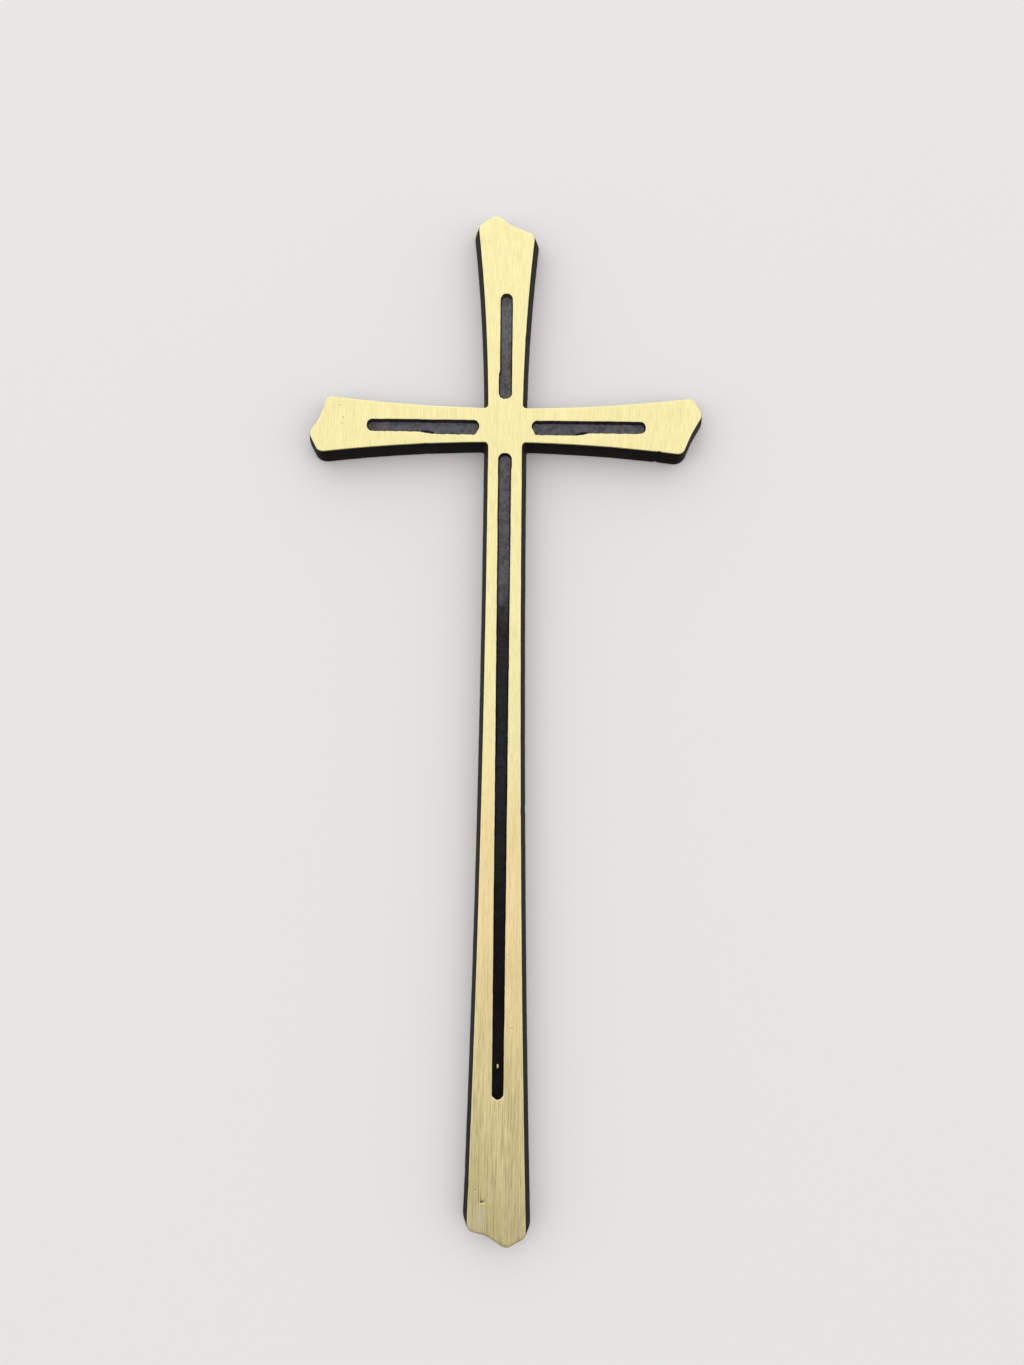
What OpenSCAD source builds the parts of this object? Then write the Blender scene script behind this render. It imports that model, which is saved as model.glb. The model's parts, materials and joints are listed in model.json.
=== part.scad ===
// Cast grave cross, made to be fixed flat against a headstone.
//
// One casting: four flared limbs with skewed, pointed ends, a ground front face,
// sides that spread towards the back, four blind grooves in the face, and two
// tapped holes in the back for fixing studs.
//
// Millimetres. +Z runs up the long limb and the ground face looks along -Y.
// The origin is on the flat back, midway between the two stud holes.

/* [Casting] */
// Thickness from the back to the ground face
thickness = 10; // [7:0.5:16]
// How far the back edge stands out beyond the edge of the face, all round
draft = 2; // [0.5:0.1:3]
// Radius of the inner corners where the limbs cross, at the face
crossing_r = 1.4; // [0.8:0.1:4]
// Smallest radius of those inner corners, at the back
crossing_back_r = 0.8; // [0.4:0.1:2]

/* [Upper limb] */
// From the centre of the crossing to the tip, before the tip is rounded
top_len = 80.7; // [68:0.1:120]
// Distance of the tip from the limb's centre line
top_tip_shift = 4.1; // [2:0.1:6]
// Fall from the tip to the corner on its own side
top_near_fall = 4.4; // [3:0.1:7]
// Fall from the tip to the corner on the far side
top_far_fall = 7.5; // [5:0.1:10]
// How far the long edge of the end is hollowed below a straight line
top_hollow = 1.2; // [0.3:0.1:2]
// From the centre of the crossing to the groove
top_groove_start = 10.1; // [9:0.1:16]
// From the outer end of the groove to the tip
top_groove_gap = 30.3; // [16:0.1:40]

/* [Side limbs] */
// From the centre of the crossing to the left tip, before the tip is rounded
left_len = 75.3; // [68:0.1:120]
// From the centre of the crossing to the right tip, before the tip is rounded
right_len = 75.6; // [68:0.1:120]
// Distance of the tip from the limb's centre line
side_tip_shift = 4.2; // [2:0.1:6]
// Fall from the tip to the corner on its own side
side_near_fall = 3.7; // [3:0.1:7]
// Fall from the tip to the corner on the far side
side_far_fall = 7.3; // [5:0.1:10]
// How far the long edge of the end is hollowed below a straight line
side_hollow = 0.7; // [0.3:0.1:2]
// From the centre of the crossing to each groove
side_groove_start = 10; // [9:0.1:16]
// From the outer end of each groove to its tip
side_groove_gap = 21.9; // [16:0.1:40]
// How far the grooves lie below the centre line of their limbs
side_groove_drop = 0.6; // [0:0.05:1]

/* [Upper and side limbs] */
// Width where a limb leaves the crossing
short_root_w = 13.1; // [11:0.1:17]
// Width at the corners of its end
short_end_w = 21.6; // [18:0.1:32]

/* [Lower limb] */
// From the centre of the crossing to the tip, before the tip is rounded
foot_len = 316; // [260:0.1:420]
// Width where the limb leaves the crossing
foot_root_w = 12.9; // [11:0.1:17]
// Width at the corners of its end
foot_end_w = 22.8; // [18:0.1:32]
// Distance of the tip from the limb's centre line
foot_tip_shift = 3.8; // [2:0.1:6]
// Fall from the tip to the corner on its own side
foot_near_fall = 4.5; // [3:0.1:7]
// Fall from the tip to the corner on the far side
foot_far_fall = 7; // [5:0.1:10]
// How far the long edge of the end is hollowed below a straight line
foot_hollow = 1.5; // [0.3:0.1:2]
// From the centre of the crossing to the groove
foot_groove_start = 10.7; // [9:0.1:16]
// From the outer end of the groove to the tip
foot_groove_gap = 57.1; // [45:0.1:120]

/* [Pointed ends] */
// Where the hollow of a long edge is deepest, as a share of the edge from the tip
hollow_place = 0.46; // [0.35:0.01:0.6]
// Rounding of the hollow
hollow_r = 10; // [5:0.5:14]
// Rounding of the two corners of an end
corner_r = 2.8; // [1:0.1:3.4]
// Rounding of the tip
tip_r = 3.2; // [1:0.1:3.8]

/* [Grooves] */
// Depth of the grooves below the face
groove_depth = 3; // [1:0.1:4]
// Width of a groove at its end near the crossing
groove_near_w = 5.3; // [4:0.1:6.5]
// Width of a groove at its outer end
groove_far_w = 4.6; // [4:0.1:6.5]
// How much narrower a groove is at its floor, on each side
groove_draft = 0.3; // [0.05:0.05:0.8]

/* [Stud holes] */
// Radius of the holes, drilled for an M6 thread
stud_r = 2.5; // [1.6:0.05:3.4]
// Metal left in front of the full-width wall of each hole
stud_skin = 4; // [2.5:0.5:6]
// From the lower hole to the tip of the lower limb; the upper hole is behind the crossing
stud_gap = 31; // [16:0.1:38]

/* [Hidden] */
$fn = 96;

// Steps along the side of a limb, round a corner, round a groove's end
SIDE_STEPS = 14;
CORNER_STEPS = 6;
GROOVE_END_STEPS = 16;

// How far a cutter reaches past the surface that it cuts
OVERCUT = 1;
// Slope of the cone that a drill leaves at the bottom of a hole
DRILL_POINT = 31;

// The limbs, anticlockwise from the top as seen from the front. Each row holds the
// length, root width, end width, tip shift, near fall, far fall and hollow.
LIMBS = [
    [top_len, short_root_w, short_end_w, top_tip_shift, top_near_fall, top_far_fall, top_hollow],
    [left_len, short_root_w, short_end_w, side_tip_shift, side_near_fall, side_far_fall, side_hollow],
    [foot_len, foot_root_w, foot_end_w, foot_tip_shift, foot_near_fall, foot_far_fall, foot_hollow],
    [right_len, short_root_w, short_end_w, side_tip_shift, side_near_fall, side_far_fall, side_hollow]
];
LEN = 0;
ROOT_W = 1;
END_W = 2;
TIP_SHIFT = 3;
NEAR_FALL = 4;
FAR_FALL = 5;
HOLLOW = 6;

// The groove of each limb, in the same order: start, end and sideways shift
GROOVES = [
    [top_groove_start, top_len - top_groove_gap, 0],
    [side_groove_start, left_len - side_groove_gap, -side_groove_drop],
    [foot_groove_start, foot_len - foot_groove_gap, 0],
    [side_groove_start, right_len - side_groove_gap, side_groove_drop]
];

stud_depth = thickness - stud_skin;
stud_spacing = foot_len - stud_gap;

// ---- plane geometry ----

function unit(v) = v / norm(v);
function heading(v) = atan2(v.y, v.x);
function toward(angle) = [cos(angle), sin(angle)];
function short_way(angle) = angle > 180 ? angle - 360 : angle < -180 ? angle + 360 : angle;
function turned(p, angle) = [p.x * cos(angle) - p.y * sin(angle), p.x * sin(angle) + p.y * cos(angle)];
function outward(a, b) = let (e = unit(b - a)) [e.y, -e.x];
function flat(p) = [p.x, p.y];
function turns_left(a, b) = a.x * b.y - a.y * b.x > 0;

// Radius of an arc that rises by rise over length and starts level
function level_arc_r(length, rise) = (length * length + rise * rise) / (2 * rise);

// Arc of radius r in the corner at b, between the lines to a and to c
function rounded(a, b, c, r) =
    let (u = unit(a - b),
         v = unit(c - b),
         half = acos(u * v) / 2,
         centre = b + unit(u + v) * r / sin(half),
         from = heading(b + u * r / tan(half) - centre),
         sweep = short_way(heading(b + v * r / tan(half) - centre) - from))
    [for (i = [0 : CORNER_STEPS]) centre + r * toward(from + sweep * i / CORNER_STEPS)];

// ---- outline of the cross, as corners of [x, y, rounding] ----

// Half width of a limb at distance d from the centre of the crossing: each side is
// an arc that leaves the crossing level with the limb and swings out to its end
function half_w(limb, d) =
    let (shoulder = limb[LEN] - (limb[NEAR_FALL] + limb[FAR_FALL]) / 2,
         r = level_arc_r(shoulder, (limb[END_W] - limb[ROOT_W]) / 2))
    limb[ROOT_W] / 2 + r - sqrt(r * r - d * d);

// Points down one side of a limb, out of reach of the rounding at the crossing
function side_points(limb, start_d, end_d) =
    [for (i = [0 : SIDE_STEPS - 1])
        let (d = start_d + (end_d - start_d) * i / SIDE_STEPS)
        [half_w(limb, d), d, 0]];

// One limb pointing along +y, from its right side to the inner corner on its left
function limb_corners(limb, next) =
    let (near_d = limb[LEN] - limb[NEAR_FALL],
         far_d = limb[LEN] - limb[FAR_FALL],
         start_d = max(limb[ROOT_W], next[ROOT_W]) / 2 + draft + crossing_r + crossing_back_r,
         far = [half_w(limb, far_d), far_d],
         tip = [-limb[TIP_SHIFT], limb[LEN]],
         hollow = tip + (far - tip) * hollow_place - outward(far, tip) * limb[HOLLOW],
         right = side_points(limb, start_d, far_d),
         left = side_points(limb, start_d, near_d))
    concat(
        right,
        [[far.x, far.y, corner_r]],
        [[hollow.x, hollow.y, hollow_r]],
        [[tip.x, tip.y, tip_r]],
        [[-half_w(limb, near_d), near_d, corner_r]],
        [for (i = [SIDE_STEPS - 1 : -1 : 0]) [-left[i].x, left[i].y, 0]],
        [[-limb[ROOT_W] / 2, next[ROOT_W] / 2, crossing_r]]);

// All four limbs, each a quarter turn on from the last
CORNERS = [
    for (k = [0 : len(LIMBS) - 1], p = limb_corners(LIMBS[k], LIMBS[(k + 1) % len(LIMBS)]))
        let (q = turned(p, 90 * k)) [q.x, q.y, p[2]]
];

// A corner pushed out by d, square to both of its edges, with its rounding to match
function pushed_out(a, b, c, rounding, d) =
    let (n1 = outward(a, b),
         n2 = outward(b, c),
         p = b + d * (n1 + n2) / (1 + n1 * n2),
         convex = turns_left(b - a, c - b),
         r = rounding == 0 ? 0 : convex ? rounding + d : max(rounding - d, crossing_back_r))
    [p.x, p.y, r];

// The rounded outline, pushed out by d all round
function outline(d) =
    let (n = len(CORNERS),
         moved = [for (i = [0 : n - 1])
             pushed_out(flat(CORNERS[(i + n - 1) % n]), flat(CORNERS[i]),
                        flat(CORNERS[(i + 1) % n]), CORNERS[i][2], d)])
    [for (i = [0 : n - 1], p = moved[i][2] == 0 ? [flat(moved[i])]
            : rounded(flat(moved[(i + n - 1) % n]), flat(moved[i]),
                      flat(moved[(i + 1) % n]), moved[i][2])) p];

// Outline of a groove along +y: two half circles with the given centres and radii
function groove_outline(near_y, far_y, near_r, far_r) =
    concat(
        [for (i = [0 : GROOVE_END_STEPS]) [0, near_y] + near_r * toward(180 + 180 * i / GROOVE_END_STEPS)],
        [for (i = [0 : GROOVE_END_STEPS]) [0, far_y] + far_r * toward(180 * i / GROOVE_END_STEPS)]);

// ---- solids, lying on their back round the centre of the crossing, face at z = thickness ----

// Closed solid between two outlines that have the same number of points
module loft(lower, upper, z_lower, z_upper) {
    n = len(lower);
    polyhedron(
        points = concat([for (p = lower) [p.x, p.y, z_lower]], [for (p = upper) [p.x, p.y, z_upper]]),
        faces = concat(
            [[for (i = [0 : n - 1]) i]],
            [[for (i = [n - 1 : -1 : 0]) n + i]],
            [for (i = [0 : n - 1]) let (j = (i + 1) % n) [i, n + i, n + j, j]]));
}

// One blind groove along +y, cut from its floor to just above the face
module groove(start, end) {
    near_y = start + groove_near_w / 2;
    far_y = end - groove_far_w / 2;
    over = groove_draft * OVERCUT / groove_depth;
    loft(groove_outline(near_y, far_y, groove_near_w / 2 - groove_draft, groove_far_w / 2 - groove_draft),
         groove_outline(near_y, far_y, groove_near_w / 2 + over, groove_far_w / 2 + over),
         thickness - groove_depth, thickness + OVERCUT);
}

// Tapped hole in the back, with the cone that the drill leaves
module stud_hole() {
    translate([0, 0, -OVERCUT])
        cylinder(h = stud_depth + OVERCUT, r = stud_r);
    translate([0, 0, stud_depth])
        cylinder(h = stud_r * tan(DRILL_POINT), r1 = stud_r, r2 = 0);
}

module cross() {
    color([0.80, 0.71, 0.47])
    rotate([90, 0, 0])
    translate([0, stud_spacing / 2, 0])
    difference() {
        loft(outline(draft), outline(0), 0, thickness);
        for (k = [0 : len(GROOVES) - 1])
            rotate([0, 0, 90 * k])
                translate([GROOVES[k][2], 0, 0])
                    groove(GROOVES[k][0], GROOVES[k][1]);
        stud_hole();
        translate([0, -stud_spacing, 0])
            stud_hole();
    }
}

cross();
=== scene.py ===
# %% [markdown]
# # A cast grave cross, ground bright on its face
#
# The real cross is one casting. It came out of a sand mould with sides that spread
# towards the back, was darkened all over, and then had its front face ground flat,
# so that bright metal shows there and nowhere else. Four long grooves in the face
# keep their dark patina.
#
# The sizes were settled in the CAD model. This script loads that model as a fixed
# frame and builds a finer skin in the same place: the slightly uneven edges, the
# rounded rims, the sand-cast back and the two tapped holes.

# %% Load the frame
import json
import math

import bmesh
import bpy
import numpy as np
from mathutils import Matrix, Vector, noise
from mathutils.geometry import delaunay_2d_cdt
from mathutils.kdtree import KDTree


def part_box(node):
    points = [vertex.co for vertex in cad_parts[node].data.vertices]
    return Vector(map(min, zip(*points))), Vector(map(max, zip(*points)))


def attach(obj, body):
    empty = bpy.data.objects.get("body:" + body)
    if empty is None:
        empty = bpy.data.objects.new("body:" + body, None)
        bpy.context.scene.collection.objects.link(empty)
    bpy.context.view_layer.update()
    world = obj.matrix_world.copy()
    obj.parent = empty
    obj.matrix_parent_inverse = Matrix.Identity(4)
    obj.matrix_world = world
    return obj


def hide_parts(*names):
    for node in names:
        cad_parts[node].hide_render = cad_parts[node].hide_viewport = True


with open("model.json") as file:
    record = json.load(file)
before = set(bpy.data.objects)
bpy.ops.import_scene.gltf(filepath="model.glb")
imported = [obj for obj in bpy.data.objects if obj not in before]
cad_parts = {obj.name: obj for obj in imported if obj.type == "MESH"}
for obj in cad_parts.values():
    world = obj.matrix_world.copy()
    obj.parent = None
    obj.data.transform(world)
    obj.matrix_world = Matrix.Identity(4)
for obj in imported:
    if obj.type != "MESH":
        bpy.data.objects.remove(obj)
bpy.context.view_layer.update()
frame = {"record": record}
MM = 0.001

# %% [markdown]
# ## Where things are
#
# X runs to the right, Z runs up the long limb, and the face looks along -Y. The
# back lies in the plane Y = 0. Two tapped holes in the back take the fixing studs,
# and the upper one is exactly behind the crossing, so the record's hole spacing
# also says how high the crossing lies. Outlines are worked out in millimetres,
# because that is how a pattern maker would write them, and become metres last.

# %% Thickness, holes and crossing
node_low, node_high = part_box("cross")
THICKNESS = round((node_high.y - node_low.y) / MM, 3)

mounts = {mount["name"]: mount for mount in frame["record"]["mounts"]}
STUD_SPACING = mounts["stud_holes"]["dims"]["spacing_y_mm"]
STUD_R = mounts["stud_holes"]["dims"]["hole_r_mm"]
CROSSING_Z = STUD_SPACING / 2

print("thickness", THICKNESS, "mm, crossing at Z =", CROSSING_Z, "mm")

# %% [markdown]
# ## The outline of the casting
#
# Each limb is the same idea with its own numbers: two sides that leave the crossing
# level and swing out in an arc, and an end with a blunt tip that sits off centre, so
# that one edge of the end is long and hollow and the other is short. The four limbs
# are a quarter turn apart, so one function draws a limb that points up and a turn
# puts it in place. Each end has its own numbers, because each end of the pattern was
# finished by hand.

# %% Sizes of the four limbs, anticlockwise from the top
SHORT_LIMB = {"root_w": 13.1, "end_w": 21.6}
LONG_LIMB = {"root_w": 12.9, "end_w": 22.8}
LIMBS = [
    {"length": 80.7, "tip_shift": 4.1, "near_fall": 4.4, "far_fall": 7.5, **SHORT_LIMB},
    {"length": 75.3, "tip_shift": 3.7, "near_fall": 3.7, "far_fall": 7.1, **SHORT_LIMB},
    {"length": 315.95, "tip_shift": 3.8, "near_fall": 4.5, "far_fall": 7.0, **LONG_LIMB},
    {"length": 75.5, "tip_shift": 4.6, "near_fall": 3.75, "far_fall": 7.5, **SHORT_LIMB},
]
# how deep the hollow of each long edge is, and where, as a share of it from the tip
HOLLOWS = [(1.2, 0.37), (1.0, 0.42), (1.5, 0.54), (0.45, 0.49)]
DRAFT = 2.0
CROSSING_R = 1.4
CROSSING_BACK_R = 0.8
CORNER_R = 2.8
TIP_R = 3.2
HOLLOW_R = 10.0
SIDE_STEPS = 14


# %% Helpers for outlines
def unit(vector):
    return vector / np.linalg.norm(vector)


def turned(points, quarter_turns):
    angle = math.radians(90 * quarter_turns)
    c, s = math.cos(angle), math.sin(angle)
    return np.asarray(points) @ np.array([[c, s], [-s, c]])


def outward(a, b):
    """Unit vector to the right of the line from a to b."""
    along = unit(b - a)
    return np.array([along[1], -along[0]])


def half_width(limb, d):
    """Half the width of a limb at distance d from the centre of the crossing."""
    shoulder = limb["length"] - (limb["near_fall"] + limb["far_fall"]) / 2
    rise = (limb["end_w"] - limb["root_w"]) / 2
    r = (shoulder**2 + rise**2) / (2 * rise)
    return limb["root_w"] / 2 + r - math.sqrt(r * r - d * d)


def rounded(a, b, c, r, steps=9):
    """Arc of radius r in the corner at b, between the lines to a and to c."""
    u, v = unit(a - b), unit(c - b)
    half = math.acos(float(np.clip(u @ v, -1, 1))) / 2
    centre = b + unit(u + v) * r / math.sin(half)
    start = b + u * r / math.tan(half) - centre
    stop = b + v * r / math.tan(half) - centre
    first = math.atan2(start[1], start[0])
    sweep = math.atan2(stop[1], stop[0]) - first
    sweep = (sweep + math.pi) % (2 * math.pi) - math.pi
    angles = [first + sweep * i / steps for i in range(steps + 1)]
    return [centre + r * np.array([math.cos(t), math.sin(t)]) for t in angles]


# %% The corners of the cross, as [x, z, rounding], and the outline pushed out by d
def limb_corners(limb, next_limb, hollow):
    near_d = limb["length"] - limb["near_fall"]
    far_d = limb["length"] - limb["far_fall"]
    widest = max(limb["root_w"], next_limb["root_w"])
    start_d = widest / 2 + DRAFT + CROSSING_R + CROSSING_BACK_R
    far = np.array([half_width(limb, far_d), far_d])
    tip = np.array([-limb["tip_shift"], limb["length"]])
    hollow_depth, hollow_share = hollow
    dip = tip + (far - tip) * hollow_share - outward(far, tip) * hollow_depth
    shares = [i / SIDE_STEPS for i in range(SIDE_STEPS)]
    right = [start_d + (far_d - start_d) * share for share in shares]
    left = [start_d + (near_d - start_d) * share for share in shares]
    return (
        [(half_width(limb, d), d, 0) for d in right]
        + [(far[0], far[1], CORNER_R)]
        + [(dip[0], dip[1], HOLLOW_R)]
        + [(tip[0], tip[1], TIP_R)]
        + [(-half_width(limb, near_d), near_d, CORNER_R)]
        + [(-half_width(limb, d), d, 0) for d in reversed(left)]
        + [(-limb["root_w"] / 2, next_limb["root_w"] / 2, CROSSING_R)]
    )


CORNERS = []
for k, limb in enumerate(LIMBS):
    corners = np.array(limb_corners(limb, LIMBS[(k + 1) % len(LIMBS)], HOLLOWS[k]))
    corners[:, :2] = turned(corners[:, :2], k)
    CORNERS.extend(corners)


def outline(d):
    """The outline pushed out by d all round. Every d gives the same number of points."""
    n = len(CORNERS)
    moved = []
    for i in range(n):
        a, b, c = (CORNERS[(i + step) % n] for step in (-1, 0, 1))
        n1, n2 = outward(a[:2], b[:2]), outward(b[:2], c[:2])
        point = b[:2] + d * (n1 + n2) / (1 + n1 @ n2)
        turns_left = n1[0] * n2[1] - n1[1] * n2[0] > 0
        r = b[2] + d if turns_left else max(b[2] - d, CROSSING_BACK_R)
        moved.append((point, r if b[2] else 0))
    made = []
    for i, (point, r) in enumerate(moved):
        if r:
            made += rounded(moved[i - 1][0], point, moved[(i + 1) % n][0], r)
        else:
            made.append(point)
    return np.array(made) + (0, CROSSING_Z)


print("outline has", len(outline(0)), "corners before it is divided")

# %% [markdown]
# ## Edges as a file leaves them
#
# A drawn outline is too perfect. A real cast edge wanders by less than a tenth of a
# millimetre, and the narrow grooves are rougher. So the outlines are divided into
# short steps, and each point is moved a little along its own outward direction by
# smooth noise. The same noise is used on every run, so the part never changes.


# %% Divide outlines and roughen them
def divided(first, second, step):
    """Both outlines with every side of the first cut into parts no longer than step."""
    made_first, made_second = [], []
    for i in range(len(first)):
        j = (i + 1) % len(first)
        parts = max(1, math.ceil(np.linalg.norm(first[j] - first[i]) / step - 1e-6))
        for share in np.arange(parts) / parts:
            made_first.append(first[i] + (first[j] - first[i]) * share)
            made_second.append(second[i] + (second[j] - second[i]) * share)
    return np.array(made_first), np.array(made_second)


def without_doubles(points, nearest=0.05):
    kept = [points[0]]
    for p in points[1:]:
        if np.linalg.norm(p - kept[-1]) > nearest:
            kept.append(p)
    return np.array(kept)


def softened(points):
    """Each point moved halfway towards the middle of its neighbours."""
    return points / 2 + (np.roll(points, 1, axis=0) + np.roll(points, -1, axis=0)) / 4


def wander(points, wavelength, seed):
    """Smooth noise from about -1 to 1 at each point."""
    spots = [Vector((x / wavelength, z / wavelength, seed)) for x, z in points]
    return np.array([noise.noise(spot) for spot in spots]) * 1.6


EDGE_STEP = 0.95
EDGE_WANDER = 0.05
EDGE_GRAIN = 0.025

face_edge, back_edge = divided(outline(0), outline(DRAFT), EDGE_STEP)
face_edge, back_edge = softened(face_edge), softened(back_edge)
spread = (back_edge - face_edge) / DRAFT

# inwards only, so that the finished skin stays inside the CAD box
inset = EDGE_WANDER * (1 + wander(face_edge, 9, 3.1)) / 2
inset += EDGE_GRAIN * (1 + wander(face_edge, 2.1, 7.7)) / 2
face_edge = face_edge - spread * inset[:, None]
print("outer edge has", len(face_edge), "points")

# %% [markdown]
# ## Small damage on the outer edge
#
# One nick in the lower edge of the right limb and a few rubbed places make the
# edge honest. Each is a place, how far it reaches along the edge and how deep it
# goes.

# %% Nicks in the outer edge
NICKS = [
    (59.3, CROSSING_Z - 8.9, 0.9, 0.35),
    (-10.6, CROSSING_Z - 291.0, 2.6, 0.12),
    (8.2, CROSSING_Z + 33.0, 1.6, 0.10),
    (-31.0, CROSSING_Z - 7.2, 1.3, 0.12),
    (6.9, CROSSING_Z - 148.0, 1.8, 0.10),
]
for x, z, reach, depth in NICKS:
    distance = np.linalg.norm(face_edge - (x, z), axis=1)
    nearest = int(distance.argmin())
    along = np.linalg.norm(face_edge - face_edge[nearest], axis=1)
    bite = depth * np.clip(1 - (along / reach) ** 2, 0, 1)
    face_edge = face_edge - spread * bite[:, None]
    print("nick", depth, "mm deep at", face_edge[nearest].round(1))

# %% [markdown]
# ## The four grooves
#
# The grooves were cut in the pattern by hand, and no two are alike. Each is drawn
# here as a few corners, anticlockwise as seen from the front, with the rounding of
# each corner. Those of the side limbs have a straight upper edge, a lower edge
# that steps down towards the crossing, and a slanted inner end. Distances are from
# the centre of the crossing.

# %% Corners of the grooves, as (x, z, rounding)
GROOVES = {
    "upper": [
        (2.45, 10.1, 2.3),
        (2.40, 50.4, 2.3),
        (-2.38, 50.4, 2.3),
        (-2.30, 20.9, 1.0),
        (-2.68, 19.6, 1.0),
        (-2.65, 10.1, 2.3),
    ],
    "left": [
        (-10.0, 1.85, 2.2),
        (-53.1, 1.90, 2.2),
        (-53.1, -2.75, 2.2),
        (-33.2, -2.78, 6.0),
        (-28.0, -3.68, 5.0),
        (-11.4, -3.72, 1.0),
        (-10.0, -0.90, 1.6),
    ],
    "long": [
        (-2.62, -10.7, 2.35),
        (-2.26, -257.4, 1.9),
        (0.0, -259.3, 1.6),
        (2.24, -257.4, 1.9),
        (2.48, -17.2, 1.0),
        (2.68, -16.0, 1.0),
        (2.64, -10.7, 2.35),
    ],
    "right": [
        (10.1, -0.80, 1.6),
        (11.6, -3.68, 1.0),
        (27.6, -3.66, 5.0),
        (32.6, -2.74, 6.0),
        (53.9, -2.74, 2.2),
        (53.9, 1.86, 2.2),
        (10.1, 1.86, 2.2),
    ],
}
GROOVE_STEP = 0.55
GROOVE_DEPTH = 3.0
GROOVE_DRAFT = 0.3
GROOVE_WANDER = 0.05
GROOVE_GRAIN = 0.075


def groove_edge(corners, seed):
    """The edge of a groove at the face, and at each point the way into the groove."""
    corners = np.array(corners)
    points = []
    for i in range(len(corners)):
        a, b, c = (corners[(i + step) % len(corners)] for step in (-1, 0, 1))
        points += rounded(a[:2], b[:2], c[:2], b[2], steps=10)
    points = without_doubles(np.array(points) + (0, CROSSING_Z))
    points, _ = divided(points, points, GROOVE_STEP)
    along = np.roll(points, -1, axis=0) - np.roll(points, 1, axis=0)
    along /= np.linalg.norm(along, axis=1)[:, None]
    inward = np.stack([-along[:, 1], along[:, 0]], axis=1)
    lower = np.clip(inward[:, 1], 0, 1)
    rough = GROOVE_WANDER * wander(points, 6, seed)
    rough += GROOVE_GRAIN * (0.55 + 0.9 * lower) * wander(points, 1.1, seed + 20)
    return points + inward * rough[:, None], inward


groove_edges = {}
for seed, (name, corners) in enumerate(GROOVES.items()):
    groove_edges[name] = groove_edge(corners, seed + 0.37)
    print(name, "groove edge has", len(groove_edges[name][0]), "points")

# %% [markdown]
# ## One class for node maths
#
# Node trees are long to write out by hand. Here one small class wraps a socket, so
# that `a * 2 + b` adds the two Math nodes that it needs, and one function adds any
# other node from its type, its settings and its inputs. Materials and Geometry
# Nodes trees use the same two.


# %% Socket arithmetic
class Socket:
    """An output socket. + - * and / on it add Math nodes."""

    def __init__(self, tree, socket):
        self.tree = tree
        self.socket = socket

    def maths(self, operation, *values):
        """A Math node with this operation on these values."""
        return self.node("ShaderNodeMath", {"operation": operation}, dict(enumerate(values)))

    def __add__(self, other):
        return self.maths("ADD", self, other)

    def __radd__(self, other):
        return self.maths("ADD", other, self)

    def __sub__(self, other):
        return self.maths("SUBTRACT", self, other)

    def __rsub__(self, other):
        return self.maths("SUBTRACT", other, self)

    def __mul__(self, other):
        return self.maths("MULTIPLY", self, other)

    def __rmul__(self, other):
        return self.maths("MULTIPLY", other, self)

    def __truediv__(self, other):
        return self.maths("DIVIDE", self, other)

    def __rtruediv__(self, other):
        return self.maths("DIVIDE", other, self)

    def clamped(self, low=0.0, high=1.0):
        return self.maths("MINIMUM", self.maths("MAXIMUM", self, low), high)

    def node(self, kind, settings=None, inputs=None, output=0):
        """Any other node: its settings first, then its inputs as values or sockets."""
        return add_node(self.tree, kind, settings, inputs, output)


def add_node(tree, kind, settings=None, inputs=None, output=0):
    made = tree.nodes.new(kind)
    for name, value in (settings or {}).items():
        if name == "stops":
            ramp = made.color_ramp
            while len(ramp.elements) < len(value):
                ramp.elements.new(0.5)
            for stop, (position, colour) in zip(ramp.elements, value):
                stop.position = position
                stop.color = (*colour, 1)
        else:
            setattr(made, name, value)
    for name, value in (inputs or {}).items():
        if isinstance(value, Socket):
            tree.links.new(value.socket, made.inputs[name])
        else:
            made.inputs[name].default_value = value
    return Socket(tree, made.outputs[output])


def spread_out(socket, low, high):
    """0 below low, 1 above high, and a smooth step between."""
    settings = {"interpolation_type": "SMOOTHSTEP"}
    inputs = {"Value": socket, "From Min": low, "From Max": high}
    return socket.node("ShaderNodeMapRange", settings, inputs)


print("node helpers are ready")

# %% [markdown]
# ## The walls, as a rule
#
# The outer side and the walls of the grooves are the same thing: an edge that runs
# round and a section that follows it. From the face the section turns over a small
# rounded rim, falls straight with its draft, and ends in a second rounding. On the
# outside that second one turns under to the back, and in a groove it is the fillet
# where the wall meets the floor.
#
# Geometry Nodes suit a shape that follows a rule. The tree makes a grid with a
# column for each point of the edge and a row for each point of the section. It
# looks up each column's place on the edge, moves each row sideways and deeper, and
# joins the last column to the first. Then the cast skin is pressed in with noise.

# %% Rows of the section, and how a tree starts and ends
RIM_ROWS = 4
WALL_ROWS = 10
FOOT_ROWS = 4


def new_group(name, inputs):
    """An empty Geometry Nodes tree with these named inputs."""
    tree = bpy.data.node_groups.new(name, "GeometryNodeTree")
    tree.interface.new_socket("Geometry", in_out="INPUT", socket_type="NodeSocketGeometry")
    tree.interface.new_socket("Geometry", in_out="OUTPUT", socket_type="NodeSocketGeometry")
    for label, kind in inputs:
        tree.interface.new_socket(label, in_out="INPUT", socket_type="NodeSocket" + kind)
    group_in = tree.nodes.new("NodeGroupInput")
    sockets = {socket.name: Socket(tree, socket) for socket in group_in.outputs if socket.name}
    return tree, sockets


def close_group(tree, geometry):
    """Ends a tree in its output node."""
    group_out = tree.nodes.new("NodeGroupOutput")
    tree.links.new(geometry.socket, group_out.inputs["Geometry"])


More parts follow.
